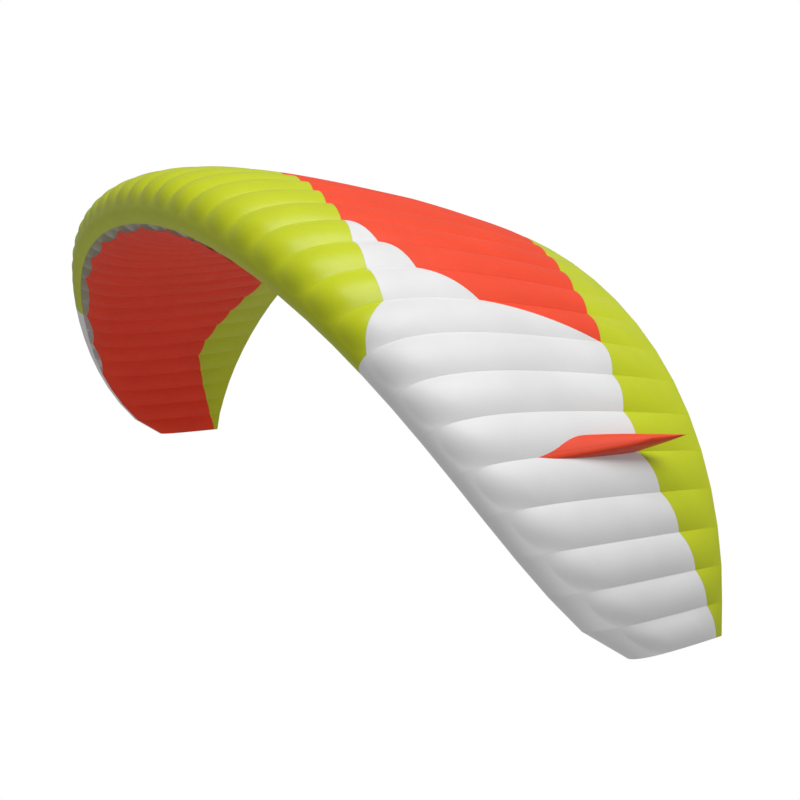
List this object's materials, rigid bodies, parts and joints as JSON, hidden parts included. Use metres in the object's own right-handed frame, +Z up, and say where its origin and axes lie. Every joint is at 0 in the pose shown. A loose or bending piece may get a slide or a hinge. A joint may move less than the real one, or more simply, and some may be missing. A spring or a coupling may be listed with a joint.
{
  "type": "paraglider wing",
  "caption": "Inflated paraglider wing in flight shape: an arched ram-air canopy of billowed cells with ribs, open air inlets along the nose, coloured sail panels and two small winglets.",
  "frame": {"origin": "underside of the centre rib at 30 percent of its chord, on the outer face of the lower sail", "axes": "+X along the span towards the pilot's left, +Y from the nose to the trailing edge, +Z up"},
  "size_m": [9.005, 2.9991, 3.1143],
  "materials": {
    "sail_lime": "coated ripstop cloth, lime",
    "sail_orange": "coated ripstop cloth, orange",
    "sail_white": "coated ripstop cloth, white",
    "sail_red": "coated ripstop cloth, red",
    "rib_grey": "uncoated ripstop cloth, grey"
  },
  "bodies": {
    "root": {"lower_main_panel_left": "sail_red", "lower_main_panel_right": "sail_red", "lower_rear_band_left": "sail_lime", "lower_rear_band_right": "sail_lime", "rib_centre": "rib_grey", "rib_left_01": "rib_grey", "rib_left_02": "rib_grey", "rib_left_03": "rib_grey", "rib_left_04": "rib_grey", "rib_left_05": "rib_grey", "rib_left_06": "rib_grey", "rib_left_07": "rib_grey", "rib_left_08": "rib_grey", "rib_left_09": "rib_grey", "rib_left_10": "rib_grey", "rib_left_11": "rib_grey", "rib_left_12": "rib_grey", "rib_left_13": "rib_grey", "rib_left_14": "rib_grey", "rib_left_15": "rib_grey", "rib_left_16": "rib_grey", "rib_left_17": "rib_grey", "rib_left_18": "rib_grey", "rib_left_19": "sail_white", "rib_right_01": "rib_grey", "rib_right_02": "rib_grey", "rib_right_03": "rib_grey", "rib_right_04": "rib_grey", "rib_right_05": "rib_grey", "rib_right_06": "rib_grey", "rib_right_07": "rib_grey", "rib_right_08": "rib_grey", "rib_right_09": "rib_grey", "rib_right_10": "rib_grey", "rib_right_11": "rib_grey", "rib_right_12": "rib_grey", "rib_right_13": "rib_grey", "rib_right_14": "rib_grey", "rib_right_15": "rib_grey", "rib_right_16": "rib_grey", "rib_right_17": "rib_grey", "rib_right_18": "rib_grey", "rib_right_19": "sail_white", "upper_centre_panel_left": "sail_orange", "upper_centre_panel_right": "sail_orange", "upper_front_panel_left": "sail_lime", "upper_front_panel_right": "sail_lime", "upper_rear_band_left": "sail_lime", "upper_rear_band_right": "sail_lime", "upper_side_panel_left": "sail_white", "upper_side_panel_right": "sail_white", "winglet_left": "sail_orange", "winglet_right": "sail_orange"}
  },
  "joints": []
}
